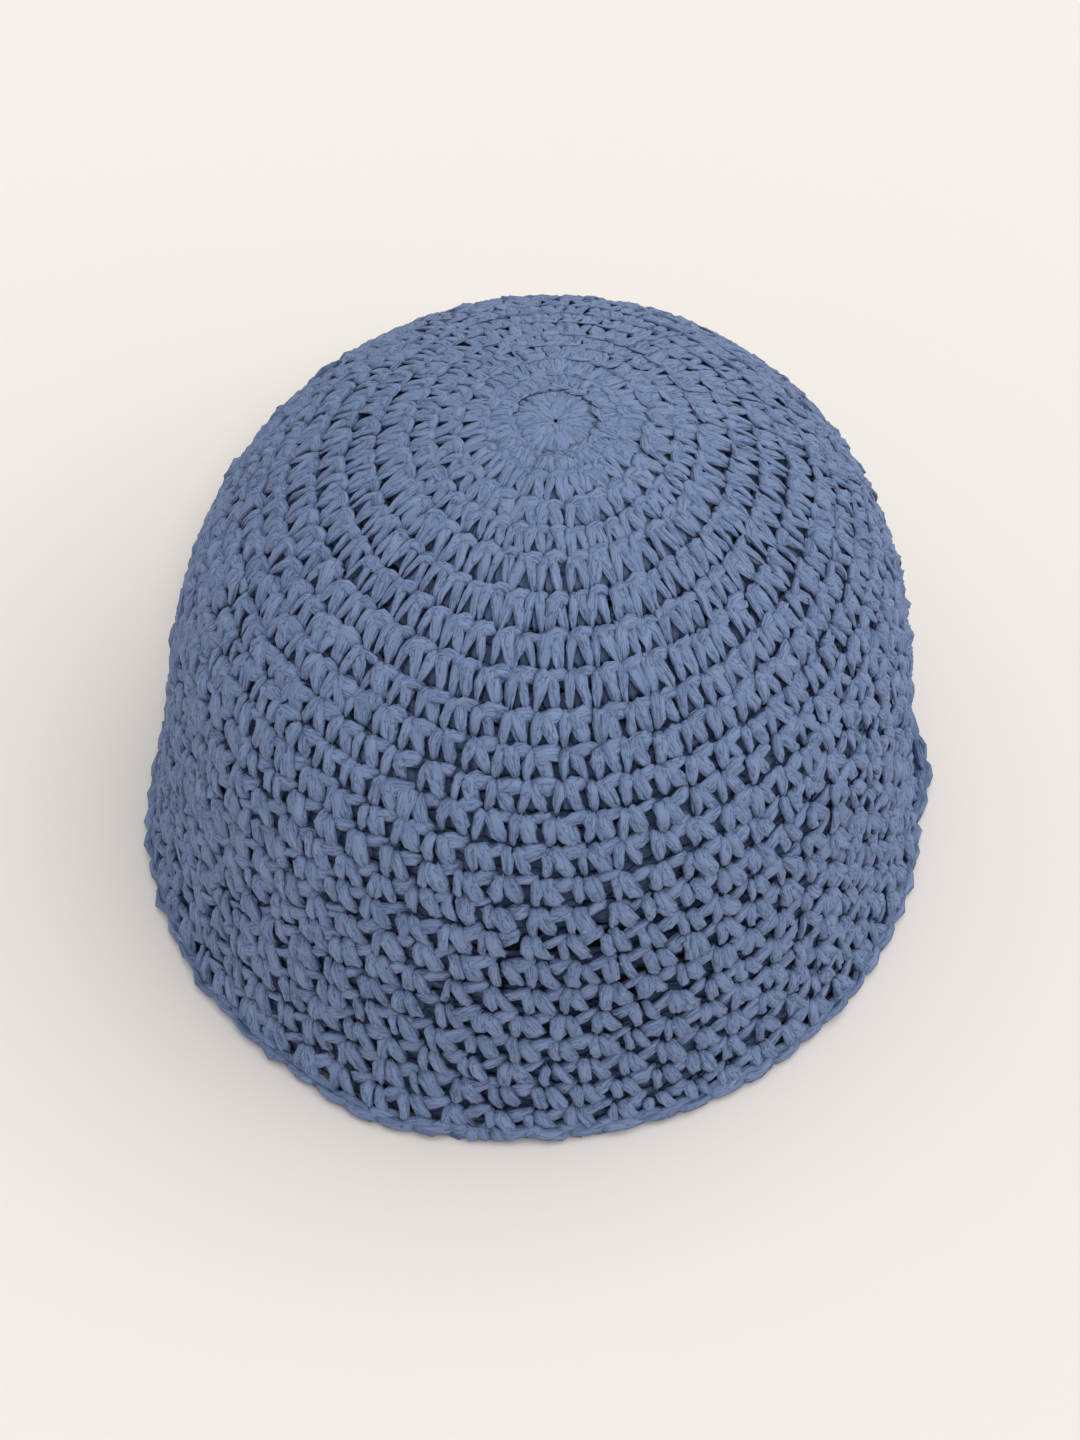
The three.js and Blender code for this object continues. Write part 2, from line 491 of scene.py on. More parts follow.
    def make(self, name: str, strands: StrandSet, material: bpy.types.Material) -> bpy.types.Object:
        """Turns a set of strands into one plain mesh object.

        Args:
            name: The piece's name.
            strands: Its strands, in millimetres.
            material: Its finish.

        Returns:
            The piece, at the origin, with no modifier left.
        """
        seeds = bpy.data.meshes.new(name + "_points")
        seeds.from_pydata((strands.paths[:, 0] * MM).tolist(), [], [])
        vectors = {key: strands.paths[:, i] * MM for i, key in enumerate(self.PATH)}
        vectors["normal"] = strands.normals
        for key, values in vectors.items():
            layer = seeds.attributes.new(key, "FLOAT_VECTOR", "POINT")
            layer.data.foreach_set("vector", values.astype(np.float32).ravel())
        numbers = {
            "width": strands.widths * MM,
            "thickness": strands.thicknesses * MM,
            "taper": strands.tapers,
            "sunk": strands.sunk,
        }
        for key, values in numbers.items():
            layer = seeds.attributes.new(key, "FLOAT", "POINT")
            layer.data.foreach_set("value", values.astype(np.float32))
        seeds.attributes.new("inner", "BOOLEAN", "POINT").data.foreach_set("value", strands.inner)
        piece = bpy.data.objects.new(name, seeds)
        bpy.context.scene.collection.objects.link(piece)
        modifier = piece.modifiers.new("strands", "NODES")
        modifier.node_group = self.tree
        modifier[self.keys["Material"]] = material
        ready = piece.evaluated_get(bpy.context.evaluated_depsgraph_get())
        mesh = bpy.data.meshes.new_from_object(ready)
        piece.modifiers.clear()
        piece.data = mesh
        mesh.name = name
        for key in [a.name for a in mesh.attributes if a.name in self.WORKING]:
            mesh.attributes.remove(mesh.attributes[key])
        bpy.data.meshes.remove(seeds)
        return piece


@dataclass(frozen=True)
class StrandForm:
    """One strand of a stitch: four points, each its share across and down the stitch and its depth.

    Depth is in millimetres out of the cloth's outer face. Folds are narrow ridges along the strand.
    """

    path: tuple[tuple[float, float, float], ...]
    width: float
    thickness: float
    taper: float = 0.0
    tube: Tube = Tube.OUTER
    folds: int = 0

    def towards(self, other: "StrandForm", share: np.ndarray) -> tuple[np.ndarray, np.ndarray]:
        """Blends two forms for many stitches.

        Args:
            other: The form at a share of one.
            share: Each stitch's share.

        Returns:
            The paths, and each stitch's width, thickness and taper in a row.
        """
        mix = share[:, None, None]
        paths = np.array(self.path) * (1 - mix) + np.array(other.path) * mix
        own, others = (np.array((form.width, form.thickness, form.taper)) for form in (self, other))
        return paths, own * (1 - mix[:, 0]) + others * mix[:, 0]


# The strands that are alike in all rounds: a thread behind the loop and two long bars across the back.
BACKING = (
    StrandForm(
        ((0.50, 0.22, -2.2), (0.85, 0.18, -2.9), (1.15, 0.08, -2.9), (1.50, 0.00, -2.2)),
        width=2.6, thickness=1.5, tube=Tube.INNER,
    ),
    StrandForm(
        ((-0.45, 0.22, -3.0), (0.20, 0.12, -3.5), (0.80, 0.12, -3.5), (1.45, 0.22, -3.0)),
        width=4.6, thickness=1.3, tube=Tube.INNER,
    ),
    StrandForm(
        ((-0.45, 0.74, -3.0), (0.20, 0.64, -3.5), (0.80, 0.64, -3.5), (1.45, 0.74, -3.0)),
        width=4.6, thickness=1.3, tube=Tube.INNER,
    ),
)
# A stitch's own strands: two legs, the loop over its top that runs on to the next stitch, and what
# shows between the legs. In the upper rounds the legs stand like the sides of an A. In the lower
# rounds the stitch is open, one leg upright and the other leaning.
NARROW = (
    StrandForm(
        ((0.44, 0.00, -1.0), (0.26, 0.12, 0.30), (0.16, 0.55, 0.25), (0.15, 1.06, -0.9)),
        width=2.7, thickness=1.6, taper=-0.64, folds=1,
    ),
    StrandForm(
        ((0.50, 0.00, -1.0), (0.62, 0.12, 0.25), (0.78, 0.55, 0.20), (0.89, 1.06, -0.9)),
        width=2.9, thickness=1.6, taper=-0.64, folds=2,
    ),
    StrandForm(
        ((0.20, 0.26, -1.0), (0.44, 0.02, 0.45), (0.86, -0.02, 0.40), (1.14, 0.18, -1.2)),
        width=3.4, thickness=1.7, folds=1,
    ),
    StrandForm(
        ((0.56, 0.10, -1.8), (0.53, 0.34, -2.0), (0.52, 0.70, -2.2), (0.52, 1.00, -2.5)),
        width=3.3, thickness=1.4, taper=-0.2, tube=Tube.INNER,
    ),
)
WIDE = (
    StrandForm(
        ((0.20, -0.04, -1.0), (0.19, 0.20, 0.20), (0.25, 0.60, 0.30), (0.29, 0.93, -1.4)),
        width=2.7, thickness=1.7, taper=-0.14, folds=1,
    ),
    StrandForm(
        ((0.40, -0.02, -1.2), (0.47, 0.20, 0.00), (0.64, 0.60, 0.20), (0.88, 0.91, -1.4)),
        width=3.4, thickness=1.8, taper=-0.10, folds=2,
    ),
    StrandForm(
        ((0.54, 0.36, -1.6), (0.75, 0.15, -0.35), (0.97, -0.02, -0.30), (1.22, -0.02, -1.6)),
        width=3.4, thickness=1.6, folds=1,
    ),
    StrandForm(
        ((0.40, 0.00, -2.6), (0.45, 0.30, -2.2), (0.56, 0.70, -2.2), (0.62, 1.00, -2.6)),
        width=3.2, thickness=1.5, tube=Tube.INNER,
    ),
)
# The first round: long flat legs that meet in the middle of the top.
CENTRE = (
    StrandForm(
        ((0.25, 0.00, -1.2), (0.25, 0.30, -0.5), (0.24, 0.75, -0.1), (0.24, 1.06, -2.4)),
        width=3.0, thickness=1.5, taper=0.62,
    ),
    StrandForm(
        ((0.75, 0.00, -1.2), (0.75, 0.30, -0.5), (0.76, 0.75, -0.1), (0.77, 1.06, -2.4)),
        width=3.1, thickness=1.5, taper=0.62,
    ),
    StrandForm(
        ((0.50, 0.05, -1.8), (0.50, 0.35, -1.6), (0.50, 0.70, -1.8), (0.50, 1.00, -2.6)),
        width=3.2, thickness=1.5, taper=0.5, tube=Tube.INNER,
    ),
)


def hermite(places: Sequence[float], values: Sequence[float], at: np.ndarray) -> np.ndarray:
    """A smooth curve through a table.

    Args:
        places: Where the values are given, rising.
        values: The values there.
        at: Where the curve is wanted.

    Returns:
        The curve's values, level beyond the table's ends.
    """
    x, y = np.array(places), np.array(values)
    before, after = np.maximum(np.arange(len(x)) - 1, 0), np.minimum(np.arange(len(x)) + 1, len(x) - 1)
    steep = (y[after] - y[before]) / (x[after] - x[before])
    i = np.clip(np.searchsorted(x, at, side="left") - 1, 0, len(x) - 2)
    width = x[i + 1] - x[i]
    t = np.clip((at - x[i]) / width, 0, 1)
    start = (2 * t**3 - 3 * t**2 + 1) * y[i]
    end = (3 * t**2 - 2 * t**3) * y[i + 1]
    bend = (t**3 - 2 * t**2 + t) * steep[i] + (t**3 - t**2) * steep[i + 1]
    return start + end + bend * width


def unit(arrows: np.ndarray) -> np.ndarray:
    """Arrows of length one."""
    return arrows / np.linalg.norm(arrows, axis=1, keepdims=True)


@dataclass
class Dome:
    """The crown's cloth: half an outline turned round, pressed into an oval, its front raised."""

    arc: float = 177.5
    slopes_deg: tuple[float, ...] = (0.0, 15.6, 27.7, 37.3, 55.3, 75.3, 83.3, 83.4, 82.2)
    steps: int = 320
    oval_ratio: float = 1.1
    oval_turn_deg: float = -16.2
    front_lift: float = 15.0
    foot: float = 4.3
    axis: tuple[float, float] = (1.420, 29.915)
    dimple_depth: float = 0.7
    dimple_size: float = 3.2
    sink: float = 0.9
    bulge_deg: float = 203.0
    bulge_reach_deg: float = 8.0
    bulge_most: float = 2.6
    flare: float = 2.2
    flare_from: float = 160.0
    spread_samples: int = 1441
    profile: np.ndarray = field(init=False)

    def __post_init__(self) -> None:
        """Sums the outline up from its slopes: arc, radius, height above the rim, slope."""
        shares = np.linspace(0, 1, self.steps + 1)
        knots = np.linspace(0, 1, len(self.slopes_deg))
        slopes = np.radians(hermite(knots, self.slopes_deg, shares))
        step = self.arc / self.steps
        middle = (slopes[1:] + slopes[:-1]) / 2
        r = np.concatenate([[0.0], np.cumsum(step * np.cos(middle))])
        z = np.concatenate([[0.0], np.cumsum(-step * np.sin(middle))])
        self.profile = np.stack([shares * self.arc, r, z - z[-1], slopes])

    @property
    def height(self) -> float:
        """The middle of the top above the rim."""
        return float(self.profile[2, 0])

    @property
    def rim_radius(self) -> float:
        """The outline's radius at the rim."""
        return float(self.profile[1, -1])

    @property
    def tilt(self) -> float:
        """How far the oval is turned."""
        return math.radians(self.oval_turn_deg)

    def bulge(self, turn: np.ndarray) -> np.ndarray:
        """How far the rim is pulled out beside its knots, at angles from straight ahead."""
        away = np.degrees(turn) % 360 - self.bulge_deg
        return self.bulge_most * np.exp(-((away / self.bulge_reach_deg) ** 2))

    def spread(self, shares: np.ndarray) -> np.ndarray:
        """Spreads points evenly round the oval.

        Args:
            shares: The points' shares of the way round.

        Returns:
            Their angles. The table behind them goes round twice, from half a turn before zero.
        """
        angles = np.linspace(-math.pi, 3 * math.pi, self.spread_samples)
        pace = np.sqrt(np.sin(angles) ** 2 / self.oval_ratio + np.cos(angles) ** 2 * self.oval_ratio)
        way = np.concatenate([[0], np.cumsum((pace[1:] + pace[:-1]) / 2)])
        return np.interp(shares, way / way[-1] * 2 - 0.5, angles)

    def raised(self, cosine: np.ndarray) -> np.ndarray:
        """How much of the front's lift a point gets, from the cosine of its angle from the front."""
        return np.maximum(0.0, cosine) ** 2

    def place(self, angle: np.ndarray, down: np.ndarray, out: np.ndarray) -> np.ndarray:
        """Finds points of the cloth.

        Args:
            angle: About the axis, from the +X side.
            down: Along the cloth from the middle of the top.
            out: Outwards from the cloth's outer face.

        Returns:
            The points, one row each.
        """
        arcs, radii, heights, slopes = self.profile
        inside = np.clip(down, 0, self.arc)
        past = down - inside
        slope = np.interp(inside, arcs, slopes)
        out = out - self.dimple_depth * np.exp(-((down / self.dimple_size) ** 2))
        near_rim = np.clip((down - self.flare_from) / (self.arc - self.flare_from), 0, 1) ** 2
        out = out - self.sink + (self.flare + self.bulge(math.pi * 1.5 - self.tilt - angle)) * near_rim
        r = np.interp(inside, arcs, radii) + past * np.cos(slope) + out * np.sin(slope)
        z = np.interp(inside, arcs, heights) - past * np.sin(slope) + out * np.cos(slope)
        across = r * np.cos(angle) / math.sqrt(self.oval_ratio)
        along = r * np.sin(angle) * math.sqrt(self.oval_ratio)
        x = across * math.cos(self.tilt) - along * math.sin(self.tilt)
        y = across * math.sin(self.tilt) + along * math.cos(self.tilt)
        away = np.maximum(np.hypot(x, y), TINY)
        nearness = (self.height - z) / (self.height - self.foot)
        z = z + self.front_lift * self.raised(-y / away) * nearness**2
        return np.stack([x + self.axis[0], y + self.axis[1], z], -1)

    def rim_at(self, turn: np.ndarray) -> np.ndarray:
        """Finds the rim's radius on the outside of the crown.

        Args:
            turn: Angles from straight ahead.

        Returns:
            The radius at each.
        """
        from_long_axis = turn + self.tilt
        across = np.sin(from_long_axis) * math.sqrt(self.oval_ratio) / self.rim_radius
        along = np.cos(from_long_axis) / math.sqrt(self.oval_ratio) / self.rim_radius
        return 1 / np.hypot(across, along)

    def by_rim(self, turn: np.ndarray, outside: np.ndarray, height: np.ndarray) -> np.ndarray:
        """Finds points near the rim.

        Args:
            turn: Angles from straight ahead, positive towards -X.
            outside: How far outside the rim.
            height: How high above the base.

        Returns:
            The points, one row each.
        """
        r = self.rim_at(turn) + outside
        x, y = -r * np.sin(turn), -r * np.cos(turn)
        return np.stack([x + self.axis[0], y + self.axis[1], height + 0 * x], -1)


@dataclass
class PeakSheet:
    """The peak's cloth, from under the crown's wall to its border."""

    dome: Dome
    wall: float = 4.0
    border_width: float = 4.2
    gap: float = 0.3
    edge_lift: float = 6.0
    arch: float = 2.5
    into_border: float = 1.2
    yielding: float = 0.08
    least_span: float = 0.5
    most_share: float = 1.2
    turns_deg: tuple[float, ...] = (
        -106, -99, -90, -80, -70, -60, -45, -30, -15, 0,
        15, 30, 45, 60, 70, 77, 85, 92, 98,
    )
    reaches: tuple[float, ...] = (
        2.0, 2.3, 2.0, 2.0, 4.2, 9.5, 23.0, 40.0, 56.0, 62.0,
        56.5, 41.0, 24.0, 10.5, 5.2, 4.0, 5.0, 3.8, 2.0,
    )

    def reach(self, turn: np.ndarray) -> np.ndarray:
        """How far the peak's edge stands outside the rim."""
        return hermite(self.turns_deg, self.reaches, np.degrees(turn))

    def edge(self, turn: np.ndarray) -> np.ndarray:
        """Where the sheet ends and its border starts."""
        return self.reach(turn) - self.border_width - self.gap

    def place(self, angle: np.ndarray, down: np.ndarray, out: np.ndarray) -> np.ndarray:
        """Finds points of the sheet; what would pass the edge is pressed against it.

        Args:
            angle: The way round, rising as on the crown.
            down: How far outside the rim.
            out: Upwards from the sheet's upper face.

        Returns:
            The points, one row each.
        """
        turn = -angle
        edge = self.edge(turn)
        limit = edge + self.into_border
        outside = np.minimum(down, limit + self.yielding * (down - limit))
        share = (outside + self.wall) / np.maximum(edge + self.wall, self.least_span)
        share = np.clip(share, 0, self.most_share)
        height = self.dome.front_lift * (1 - share) + self.edge_lift * share
        height = height + self.arch * np.sin(math.pi * np.clip(share, 0, 1))
        height = height * self.dome.raised(np.cos(turn)) + self.wall + out
        return self.dome.by_rim(turn, outside, height)


@dataclass
class Cells:
    """Stitches side by side, each with its corner and size on the cloth."""

    angle: np.ndarray
    down: np.ndarray
    span: np.ndarray
    height: np.ndarray
    openness: np.ndarray
    slack: np.ndarray
    looseness: np.ndarray
    relief: np.ndarray

    def unsettle(self, chance: np.random.Generator, amount: float) -> "Cells":
        """Moves each stitch a little.

        Args:
            chance: Where the random values come from.
            amount: The usual shift, as a share of the stitch's size.

        Returns:
            The same stitches, moved.
        """
        self.angle = self.angle + chance.normal(0, amount, len(self.angle)) * self.span
        self.down = self.down + chance.normal(0, amount, len(self.angle)) * self.height
        return self

    def some(self, chosen: np.ndarray) -> "Cells":
        """Only the chosen stitches."""
        return Cells(*(getattr(self, item.name)[chosen] for item in fields(self)))


class Crochet:
    """Lays the strands of many stitches on a cloth, no two quite alike."""

    DRIFT = (0.055, 0.038, 0.33)
    SIZE_SPREAD = 0.15
    STITCH_SHIFT = 0.035
    FULL_ROOM = 6.2
    LEAST_SIZE = 0.68
    FOLD_WIDTH = 0.55
    FOLD_THICKNESS = 0.70
    FOLD_ASIDE = 0.36
    FOLD_ASIDE_SPREAD = (0.7, 1.3)
    FOLD_PROUD = 0.30
    FOLD_PROUD_SPREAD = (-0.6, 1.1)
    FOLD_SHARES = (0.2, 1.0, 1.0, 0.2)
    FOLD_DRIFT = 0.15
    # Painted shade on strands that lie behind others, more where the cloth is loose.
    BEHIND = 0.3
    BEHIND_LOOSE = 0.6
    TIGHT_UNREST = 0.25
    # Less painted shade where the cloth is flat.
    FLAT_LIGHTER = 0.36
    FLAT_WIDER = 0.6
    # Less painted shade where the cloth is tight.
    TIGHT_LIGHTER = 0.24

    def __init__(self, cloth: Dome | PeakSheet, seed: int) -> None:
        """Starts on a cloth, with a fixed seed for the small differences between stitches."""
        self.cloth = cloth
        self.chance = np.random.default_rng(seed)

    def outwards(self, angle: np.ndarray, down: np.ndarray) -> np.ndarray:
        """The cloth's directions outwards at points of it."""
        level = np.zeros(len(angle))
        return unit(self.cloth.place(angle, down, level + 1) - self.cloth.place(angle, down, level))

    def room(self, angle: np.ndarray, down: np.ndarray, span: np.ndarray) -> np.ndarray:
        """Measures how wide stitches are on the cloth.

        Args:
            angle: Their middles' angles.
            down: Their middles' way down the cloth.
            span: Their width as an angle.

        Returns:
            Their width.
        """
        level = np.zeros(len(angle))
        left, right = (self.cloth.place(angle + half, down, level) for half in (-span / 2, span / 2))
        return np.linalg.norm(right - left, axis=1)

    def lay(self, cells: Cells, near: StrandForm, far: StrandForm) -> StrandSet:
        """Lays one strand in every cell.

        Args:
            cells: The stitches.
            near: The strand's form where the stitches are narrow.
            far: Its form where they are wide open.

        Returns:
            The strands.
        """
        count = len(cells.angle)
        paths, shapes = near.towards(far, cells.openness)
        unrest = cells.relief * (1 + (1 - cells.looseness) * cells.openness * self.TIGHT_UNREST)
        paths = paths + self.chance.normal(0, 1, paths.shape) * np.array(self.DRIFT) * unrest[:, None, None]
        angle = cells.angle[:, None] + paths[..., 0] * cells.span[:, None]
        down = cells.down[:, None] + paths[..., 1] * cells.height[:, None]
        points = self.cloth.place(angle, down, paths[..., 2] * cells.relief[:, None])
        middle = angle.mean(1), down.mean(1)
        room = self.room(*middle, cells.span)
        fit = np.clip(room / self.FULL_ROOM, self.LEAST_SIZE, 1)
        sizes = self.chance.normal(1, self.SIZE_SPREAD, (2, count)) * fit
        wider = 1 + self.FLAT_WIDER * (1 - cells.relief)
        main = StrandSet(
            points,
            self.outwards(*middle),
            shapes[:, 0] * sizes[0] * wider,
            shapes[:, 1] * sizes[1] * cells.relief,
            shapes[:, 2] * (2 * cells.relief - 1),
            np.full(count, near.tube is Tube.INNER),
            # Each strand's painted shade.
            self.shade(cells, near.tube),
        )
        first = self.chance.choice((-1.0, 1.0), count)
        return StrandSet.join([main] + [self.fold(main, first * way) for way in (1.0, -1.0)[: near.folds]])

    def shade(self, cells: Cells, tube: Tube) -> np.ndarray:
        """How much painted shade strands get.

        Args:
            cells: The stitches.
            tube: Whether the strands are seen or lie behind others.

        Returns:
            A number for each stitch: painted shade, more for what lies behind others and where the cloth is
                loose or slack, less where it is tight and flat.
        """
        if tube is Tube.INNER:
            return cells.relief * self.BEHIND + cells.looseness * self.BEHIND_LOOSE + cells.slack
        return (cells.looseness - 1) * self.TIGHT_LIGHTER + (cells.relief - 1) * self.FLAT_LIGHTER

    def fold(self, strands: StrandSet, ways: np.ndarray) -> StrandSet:
        """Lays a narrow ridge along each strand, to one side of its middle.

        Args:
            strands: The strands.
            ways: One or minus one for each, the side.

        Returns:
            Their ridges.
        """
        count = len(strands.widths)
        side = unit(np.cross(strands.normals, strands.paths[:, 3] - strands.paths[:, 0]))
        aside = self.FOLD_ASIDE * strands.widths * ways * self.chance.uniform(*self.FOLD_ASIDE_SPREAD, count)
        proud = self.FOLD_PROUD * strands.thicknesses * self.chance.uniform(*self.FOLD_PROUD_SPREAD, count)
        shift = side * aside[:, None] + strands.normals * proud[:, None]
        paths = strands.paths + shift[:, None, :] * np.array(self.FOLD_SHARES)[:, None]
        drift = self.chance.normal(0, self.FOLD_DRIFT, paths.shape)
        paths = paths + drift * strands.thicknesses[:, None, None]
        return StrandSet(
            paths,
            strands.normals,
            strands.widths * self.FOLD_WIDTH,
            strands.thicknesses * self.FOLD_THICKNESS,
            strands.tapers,
            np.full(count, True),
            strands.sunk,
        )

    def stitches(self, cells: Cells) -> StrandSet:
        """Lays whole stitches; in slack cloth some strands of the back are missing.

        Args:
            cells: The stitches.

        Returns:
            All their strands.
        """
        cells = cells.unsettle(self.chance, self.STITCH_SHIFT)
        sets = [self.lay(cells, near, far) for near, far in zip(NARROW[:-1], WIDE[:-1])]
        for near, far in ((NARROW[-1], WIDE[-1]), *((form, form) for form in BACKING)):
            there = self.chance.random(len(cells.angle)) >= cells.slack
            sets.append(self.lay(cells.some(there), near, far))
        return StrandSet.join(sets)


@dataclass
class Crown:
    """The crown, worked in rounds from the middle of its top down to the rim."""

    dome: Dome
    bottoms: tuple[float, ...] = (
        10.2, 15.0, 21.8, 28.0, 34.0, 42.3, 50.2, 58.2, 66.5, 73.6, 80.5, 87.3,
        94.2, 101.2, 108.5, 115.8, 123.3, 131.2, 138.9, 146.6, 154.2, 162.0, 169.2, 176.6,
    )
    eye: float = 0.5
    first_count: int = 14
    counts: tuple[tuple[int, int], ...] = ((2, 28), (5, 44), (7, 60), (10, 63), (18, 65))
    step_back: float = -0.15
    open_from: float = 7.0
    open_at: float = 16.0
    waver: float = 4.0
    waver_crests: int = 3
    waver_crest_deg: float = 110.0
    slack_band: tuple[tuple[float, float], tuple[float, float]] = ((84.0, 155.0), (138.0, 131.0))
    slack_reach: float = 11.0
    slack_edge_deg: float = 3.0
    slack_spots: tuple[tuple[float, float], ...] = (
        (97.5, 120.0), (107.0, 122.0), (114.0, 122.0), (120.0, 122.0), (100.0, 138.0), (112.5, 137.0),
        (117.4, 138.0), (123.4, 139.0), (105.4, 147.0), (134.6, 133.6), (140.0, 142.0),
    )
    spot_reach: float = 4.6
    loose_middle_deg: float = 109.0
    loose_reach_deg: float = 42.0
    loose_round: float = 11.0
    reliefs: tuple[tuple[float, float], tuple[float, float]] = ((1.0, 9.0), (0.4, 1.0))
    front_calmer: float = 0.45
    slack_most: float = 0.3
    first_seed: int = 100 * SEED
    parts: tuple[tuple[str, int, int], ...] = (
        ("crown_top", 1, 8),
        ("crown_shoulder", 9, 12),
        ("crown_upper", 13, 16),
        ("crown_middle", 17, 20),
        ("crown_lower", 21, 24),
    )

    def count(self, number: int) -> int:
        """How many stitches a round has."""
        return max([c for first, c in self.counts if number >= first], default=self.first_count)

    def cells(self, number: int) -> Cells:
        """The stitches of one round.

        Args:
            number: The round, from one.

        Returns:
            Its cells.
        """
        count = self.count(number)
        top = self.bottoms[number - 2] if number > 1 else self.eye
        bottom = self.bottoms[number - 1]
        corners = self.dome.spread((np.arange(count + 1) + self.step_back * number) / count)
        angle = corners[:-1]
        down, end = top + self.sway(angle, top), bottom + self.sway(angle, bottom)
        openness = np.clip((number - self.open_from) / (self.open_at - self.open_from), 0, 1)
        slack = self.slack_at(angle, (down + end) / 2)
        from_middle = (np.degrees(angle) % 360 - self.loose_middle_deg) / self.loose_reach_deg
        loose = np.exp(-(from_middle**2)) * min(number / self.loose_round, 1.0) ** 2
        full = np.ones(count)
        relief = np.interp(number, *self.reliefs) * (1 - self.front_calmer * np.maximum(-np.sin(angle), 0))
        return Cells(angle, down, np.diff(corners), end - down, full * openness, slack, loose, relief)

    def sway(self, angle: np.ndarray, down: float) -> np.ndarray:
        """Finds how far a round's edge wavers, more towards the rim, whose own edge doesn't.

        Args:
            angle: Angles of points of the edge.
            down: The edge's way down the cloth.

        Returns:
            How much further down each point lies.
        """
        share = min(down / self.dome.arc, 1.0)
        from_crest = self.waver_crests * (angle - math.radians(self.waver_crest_deg))
        return self.waver * share**2 * (1 - share**6) * np.cos(from_crest)

    def slack_at(self, angle: np.ndarray, down: np.ndarray) -> np.ndarray:
        """Finds how often a strand of the back is missing: in one band and at a few spots.

        Args:
            angle: The stitches' angles.
            down: Their middles' way down the cloth.

        Returns:
            The chance for each stitch.
        """
        degrees = np.degrees(angle) % 360
        (start, start_down), (end, end_down) = self.slack_band
        middle = np.interp(degrees, (start, end), (start_down, end_down))
        near = np.exp(-(((down - middle) / self.slack_reach) ** 2))
        before, after = (degrees - start) / self.slack_edge_deg, (degrees - end) / self.slack_edge_deg
        within = 1 / (1 + np.exp(-before)) / (1 + np.exp(after))
        slack = self.slack_most * near * within
        for spot_degrees, spot_down in self.slack_spots:
            aside = np.radians(degrees - spot_degrees) * self.dome.rim_radius
            away = np.hypot(aside, down - spot_down) / self.spot_reach
            slack = np.maximum(slack, np.exp(-(away**2)))
        return slack

    def strands(self, first: int, last: int) -> StrandSet:
        """The strands of several rounds.

        Args:
            first: The first round.
            last: The last round.

        Returns:
            Their strands.
        """
        sets = []
        for number in range(first, last + 1):
            crochet = Crochet(self.dome, self.first_seed + number)
            cells = self.cells(number)
            if number == 1:
                sets.extend(crochet.lay(cells, form, form) for form in CENTRE)
            else:
                sets.append(crochet.stitches(cells))
        return StrandSet.join(sets)

    def build(self, tree: StrandTree, finish: bpy.types.Material) -> list[bpy.types.Object]:
        """Makes the crown's pieces.

        Args:
            tree: What makes strands.
            finish: The yarn.

        Returns:
            The pieces, from the top down.
        """
        pieces = [tree.make(name, self.strands(a, b), finish) for name, a, b in self.parts]
        for piece in pieces:
            settle(piece, "crown")
        return pieces


@dataclass
class Peak:
    """The peak, worked in rows outwards from the front of the rim."""

    sheet: PeakSheet
    row_height: float = 7.3
    start: float = -1.5
    stitch_width: float = 9.2
    step_back: float = -0.14
    openness: float = 0.75
    reach_deg: float = 100.0
    samples: int = 801
    least_samples: int = 20
    least_share: float = 0.3
    seam_deg: tuple[float, float] = (-98.0, 92.0)
    seam_count: int = 48
    seam_shares: tuple[float, ...] = (-0.3, 0.3, 0.7, 1.3)
    seam_width: float = 5.5
    seam_thickness: float = 1.5
    seam_depth: float = 2.4
    # Painted shade on the flat strands under the border.
    seam_shade: float = 0.4
    first_seed: int = 200 * SEED

    def rows(self) -> list[Cells]:
        """Works out the rows that fit between the rim and the peak's edge.

        Returns:
            Each row's stitches.
        """
        rows = []
        turns = np.radians(np.linspace(-self.reach_deg, self.reach_deg, self.samples))
        room = self.sheet.edge(turns)
        number = 0
        while True:
            down = self.start + number * self.row_height
            inside = turns[room > down + self.least_share * self.row_height]
            if len(inside) < self.least_samples:
                return rows
            reach = self.sheet.dome.rim_radius + down + self.row_height / 2
            count = round((inside[-1] - inside[0]) * reach / self.stitch_width)
            span = (inside[-1] - inside[0]) / count
            angle = -inside[-1] + span * (np.arange(count) + (self.step_back * number) % 1 - 0.5)
            sizes = (down, span, self.row_height, self.openness, 0.0, 0.0, 1.0)
            rows.append(Cells(angle, *(np.full(count, size) for size in sizes)))
            number += 1

    def seam(self) -> StrandSet:
        """Lays flat strands under the last stitches, where the cloth meets its border.

        Returns:
            The strands.
        """
        corners = np.radians(np.linspace(*self.seam_deg, self.seam_count + 1))
        turn = corners[:-1, None] + (corners[1] - corners[0]) * np.array(self.seam_shares)
        points = self.sheet.place(-turn, self.sheet.edge(turn), np.full_like(turn, -self.seam_depth))
        full = np.ones(self.seam_count)
        return StrandSet(
            points,
            np.tile((0.0, 0.0, 1.0), (self.seam_count, 1)),
            self.seam_width * full,
            self.seam_thickness * full,
            0 * full,
            full > 0,
            self.seam_shade * full,
        )

    def build(self, tree: StrandTree, finish: bpy.types.Material) -> bpy.types.Object:
        """Makes the peak.

        Args:
            tree: What makes strands.
            finish: The yarn.

        Returns:
            The piece.
        """
        sets = [Crochet(self.sheet, self.first_seed + i).stitches(row) for i, row in enumerate(self.rows())]
        piece = tree.make("peak_cloth", StrandSet.join([*sets, self.seam()]), finish)
        settle(piece, "peak")
        return piece


